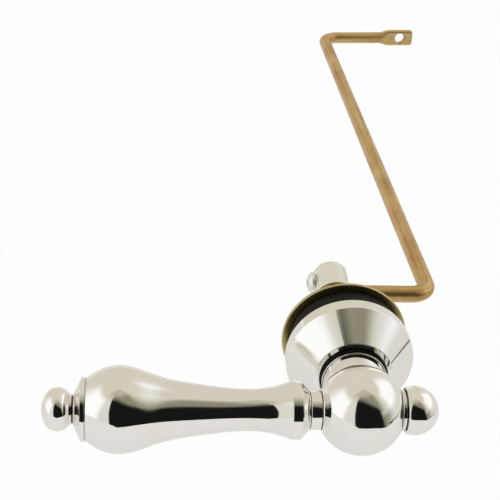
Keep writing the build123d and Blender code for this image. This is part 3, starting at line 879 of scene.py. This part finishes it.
class CISTERN_OT_trip_arm(bpy.types.Operator):
    """Bend the brass rod and press its end flat for the chain"""

    bl_idname = "cistern.trip_arm"
    bl_label = "Trip arm"

    def execute(self, context):
        sizes = context.scene.cistern_arm
        rod, reach, run, end = sizes.rod / MM, sizes.reach / MM, sizes.run / MM, sizes.end_reach / MM
        tab, neck, half = sizes.tab_length / MM, sizes.tab_neck / MM, sizes.tab_thickness / MM / 2
        leg_inset, bends, chamfer, end_share = 1.0, (5, 6, 8), 0.25, 0.9
        tab_edge, tab_lead, rounding = 1.1, 0.5, 1.0
        neck_steps, tab_steps, corner_steps = 14, 24, 10
        crank_y = foot_of("trip_arm", Y) + rod
        corner = np.array((reach - run * tan(sizes.splay), crank_y + run))
        bar = np.array((cos(sizes.end_splay), sin(sizes.end_splay)))
        neck_start = end - tab - neck
        leg_end = (0, top_of("spindle", Y) - leg_inset)
        places = [leg_end, (0, crank_y), (reach, crank_y), corner, corner + bar * neck_start]
        turn = np.linspace(0, 2 * pi, SECTION_POINTS, endpoint=False)
        circle = np.stack((np.cos(turn), np.sin(turn)), axis=1) * rod
        flat = flat_section(half, sizes.tab_width / MM / 2, tab_edge)
        stations = [(place, ahead, circle) for place, ahead in bent_route([np.array(p) for p in places], bends)]
        first, ahead, _ = stations[0]
        stations[0] = (first + ahead * chamfer, ahead, circle)
        stations.insert(0, (first, ahead, circle * end_share))
        sections = []
        for k in range(1, neck_steps + 1):
            share = k / neck_steps
            pressed = share * share * (3 - 2 * share)
            sections.append((neck_start + neck * share, circle * (1 - pressed) + flat * pressed))
        sections += [(end - tab + along, flat) for along in np.linspace(tab_lead, tab - rounding, tab_steps)]
        for k in range(1, corner_steps + 1):
            angle = k / corner_steps * pi / 2
            narrow = 1 - rounding * (1 - cos(angle)) / flat[:, 1].max()
            sections.append((end - rounding + rounding * sin(angle), flat * np.array((1.0, narrow))))
        stations += [(corner + bar * along, bar, section) for along, section in sections]
        piece = sweep_rod(stations)
        middle = corner + bar * (end - sizes.hole_inset / MM)
        drill = turned_shape(drill_outline(half, sizes.hole / MM), (*middle, 0), (-bar[1], bar[0], 0), HOLE_SEGMENTS)
        cut_away(piece, finish_mesh("drill", drill))
        fit(piece, "lever", "trip_arm", "brass", "brass_rod")
        return {"FINISHED"}


# floor below the handle's swing, with the outline that the nickel mirrors
FLOOR_LEVEL = -62
FLOOR_OUTLINE = (
    (-4900, -2860), (-1310, -2085), (-262, -690), (-88, -375), (-36, -398), (39, -404), (115, -386), (161, -316),
    (172, -232), (180, -180), (238, -150), (330, -117), (920, 2310), (920, 4900), (-4900, 4900),
)
# share of plain white in the paper, as the camera sees it and as metal mirrors it before and behind the object
WHITE_SEEN, WHITE_BEFORE, WHITE_BEHIND = 0.97, 0.57, 0.42
FALL_REACH = 60
# regions of the studio, each over those before it: a colour of the stage, the left, right, low and high side and the
# softness of each, in degrees from the object's front and the horizon, and whether it leans with the dark room
STUDIO = (
    ("panel", (-200, 200, -100, 0), (3, 3, 3, 3), False),
    ("side", (-60, -22, -90, 52), (6, 2, 5, 5), False),
    ("panel", (-112, -54, -90, 49), (22, 9, 5, 9), False),
    ("side", (54, 150, -90, 51), (12, 12, 5, 9), False),
    ("panel", (76, 138, 14, 53), (10, 10, 9, 9), False),
    ("over", (-60, 60, 62, 100), (12, 16, 8, 1), False),
    ("dim", (-27, 56, 20, 70), (1.5, 14, 5, 8), False),
    ("dim", (48, 70, -100, 15), (4, 16, 4, 8), False),
    ("room", (-23, 50, -100, 60.5), (1.5, 5, 3, 8.5), True),
    ("room", (64, 96, -100, -9), (3, 6, 4, 1), False),
)
STUDIO_STRENGTH = 1.1
ROOM_LEAN, ROOM_FALL, ROOM_FALL_START = 0.17, 0.4, radians(18)


def studio_region(add, across, height, sides, softness):
    """Mask of one region of the studio, soft at its four sides."""
    mask = None
    for coordinate, side, inward, soft in zip((across, across, height, height), sides, (1, -1, 1, -1), softness):
        low, high = radians(side - inward * soft), radians(side + inward * soft)
        ramp = add(
            "ShaderNodeMapRange", {"Value": coordinate, "From Min": low, "From Max": high},
            interpolation_type="SMOOTHSTEP",
        )
        mask = ramp if mask is None else add("ShaderNodeMath", {0: mask, 1: ramp}, operation="MULTIPLY")
    return mask


def set_camera(scene, settings):
    """Camera at the photograph's place and angle."""
    data = bpy.data.cameras.new("camera")
    data.lens = settings.lens
    data.sensor_width = 36
    data.clip_start = 0.01
    camera = bpy.data.objects.new("camera", data)
    scene.collection.objects.link(camera)
    stand = Matrix.Translation(settings.camera_place)
    tilt = pi / 2 - settings.camera_pitch
    for angle, axis in ((-settings.camera_yaw, "Z"), (tilt, "X"), (-settings.camera_roll, "Z")):
        stand = stand @ Matrix.Rotation(angle, 4, axis)
    camera.matrix_world = stand
    scene.camera = camera


def lay_floor(settings):
    """Sheet of matt white paper with faint fibres; its front edge lies out of the picture."""
    shape = bmesh.new()
    shape.faces.new([shape.verts.new((x, y, FLOOR_LEVEL)) for x, y in FLOOR_OUTLINE])
    floor = finish_mesh("floor", shape)
    material = bpy.data.materials.new("white_paper")
    add = node_adder(material)
    place = add("ShaderNodeTexCoord").outputs["Object"]
    fibre = add("ShaderNodeTexNoise", {"Vector": place, "Scale": per_mm(40), "Detail": 3.0})
    colour = add("ShaderNodeMix", {0: fibre, 6: settings.floor, 7: shaded(settings.floor, 0.97)}, data_type="RGBA")
    paper = add("ShaderNodeBsdfDiffuse", {"Color": colour.outputs[2]})
    white = add("ShaderNodeEmission", {"Strength": 1.0})
    ray = add("ShaderNodeLightPath").outputs
    mirrored = add("ShaderNodeMath", {0: ray["Is Glossy Ray"], 1: ray["Is Transmission Ray"]}, operation="MAXIMUM")
    # the paper is dimmer behind the object, where less of the panels' light falls
    depth = add("ShaderNodeSeparateXYZ", {0: place}).outputs[1]
    fall = add("ShaderNodeMapRange", {
        "Value": depth, "From Min": -FALL_REACH * MM, "From Max": FALL_REACH * MM,
        "To Min": WHITE_BEFORE, "To Max": WHITE_BEHIND,
    })
    faint = add("ShaderNodeMath", {0: mirrored, 1: fall}, operation="MULTIPLY")
    strong = add("ShaderNodeMath", {0: ray["Is Camera Ray"], 1: WHITE_SEEN}, operation="MULTIPLY")
    share = add("ShaderNodeMath", {0: faint, 1: strong}, operation="MAXIMUM")
    mixed = add("ShaderNodeMixShader", {0: share, 1: paper, 2: white})
    add("ShaderNodeOutputMaterial", {"Surface": mixed})
    floor.data.materials.append(material)


def paint_studio(scene, settings):
    """White panels left and right, a warm ceiling and a dark room in front; plain white behind for the camera."""
    scene.world = bpy.data.worlds.new("studio")
    add = node_adder(scene.world)
    direction = add("ShaderNodeTexCoord").outputs["Generated"]
    x, y, z = add("ShaderNodeSeparateXYZ", {0: direction}).outputs
    front = add("ShaderNodeMath", {0: y, 1: -1.0}, operation="MULTIPLY")
    azimuth = add("ShaderNodeMath", {0: x, 1: front}, operation="ARCTAN2")
    elevation = add("ShaderNodeMath", {0: z}, operation="ARCSINE")
    # the dark room leans a little to the left, and its upper edge falls away to the right
    lean = add("ShaderNodeMath", {0: elevation, 1: ROOM_LEAN, 2: azimuth}, operation="MULTIPLY_ADD")
    beyond = add("ShaderNodeMath", {0: azimuth, 1: ROOM_FALL_START}, operation="ADD")
    right = add("ShaderNodeMath", {0: beyond, 1: 0.0}, operation="MAXIMUM")
    square = add("ShaderNodeMath", {0: right, 1: 2.0}, operation="POWER")
    raised = add("ShaderNodeMath", {0: square, 1: ROOM_FALL, 2: elevation}, operation="MULTIPLY_ADD")
    colour = settings.ceiling
    for shade, sides, softness, leaning in STUDIO:
        across, height = (lean, raised) if leaning else (azimuth, elevation)
        mask = studio_region(add, across, height, sides, softness)
        painted = {0: mask, 6: colour, 7: getattr(settings, shade)}
        colour = add("ShaderNodeMix", painted, data_type="RGBA").outputs[2]
    lit = add("ShaderNodeBackground", {"Color": colour, "Strength": STUDIO_STRENGTH})
    plain = add("ShaderNodeBackground", {"Color": (1.0, 1.0, 1.0, 1.0), "Strength": 1.0})
    seen = add("ShaderNodeLightPath").outputs["Is Camera Ray"]
    mixed = add("ShaderNodeMixShader", {0: seen, 1: lit, 2: plain})
    add("ShaderNodeOutputWorld", {"Surface": mixed})


class CISTERN_OT_stage(bpy.types.Operator):
    """Set the floor, the studio and the camera"""

    bl_idname = "cistern.stage"
    bl_label = "Stage"

    def execute(self, context):
        scene = context.scene
        settings = scene.cistern_stage
        scene.view_settings.view_transform = "Standard"
        set_camera(scene, settings)
        lay_floor(settings)
        paint_studio(scene, settings)
        return {"FINISHED"}


class CISTERN_PT_panel(bpy.types.Panel):
    """Lists the pieces, their sizes and their colours"""

    bl_idname = "CISTERN_PT_panel"
    bl_label = "Cistern lever"
    bl_space_type = "VIEW_3D"
    bl_region_type = "UI"
    bl_category = "Cistern lever"

    def draw(self, context):
        layout = self.layout
        for operator in OPERATORS:
            layout.operator(operator.bl_idname)
        for field, _ in GROUPS:
            group = getattr(context.scene, field)
            box = layout.box()
            for name in group.__annotations__:
                box.prop(group, name)


OPERATORS = (
    CISTERN_OT_handle,
    CISTERN_OT_hub,
    CISTERN_OT_escutcheon,
    CISTERN_OT_clamp,
    CISTERN_OT_spindle,
    CISTERN_OT_trip_arm,
    CISTERN_OT_stage,
)
GROUPS = (
    ("cistern_handle", HandleSizes),
    ("cistern_mount", MountSizes),
    ("cistern_arm", ArmSizes),
    ("cistern_finishes", Finishes),
    ("cistern_stage", StageSettings),
)


def register():
    for field, group in GROUPS:
        bpy.utils.register_class(group)
        setattr(bpy.types.Scene, field, PointerProperty(type=group))
    for operator in OPERATORS:
        bpy.utils.register_class(operator)
    bpy.utils.register_class(CISTERN_PT_panel)


def unregister():
    bpy.utils.unregister_class(CISTERN_PT_panel)
    for operator in reversed(OPERATORS):
        bpy.utils.unregister_class(operator)
    for field, group in reversed(GROUPS):
        delattr(bpy.types.Scene, field)
        bpy.utils.unregister_class(group)


def main():
    register()
    bpy.ops.cistern.handle()
    bpy.ops.cistern.hub()
    bpy.ops.cistern.escutcheon()
    bpy.ops.cistern.clamp()
    bpy.ops.cistern.spindle()
    bpy.ops.cistern.trip_arm()
    bpy.ops.cistern.stage()


if __name__ == "__main__":
    main()
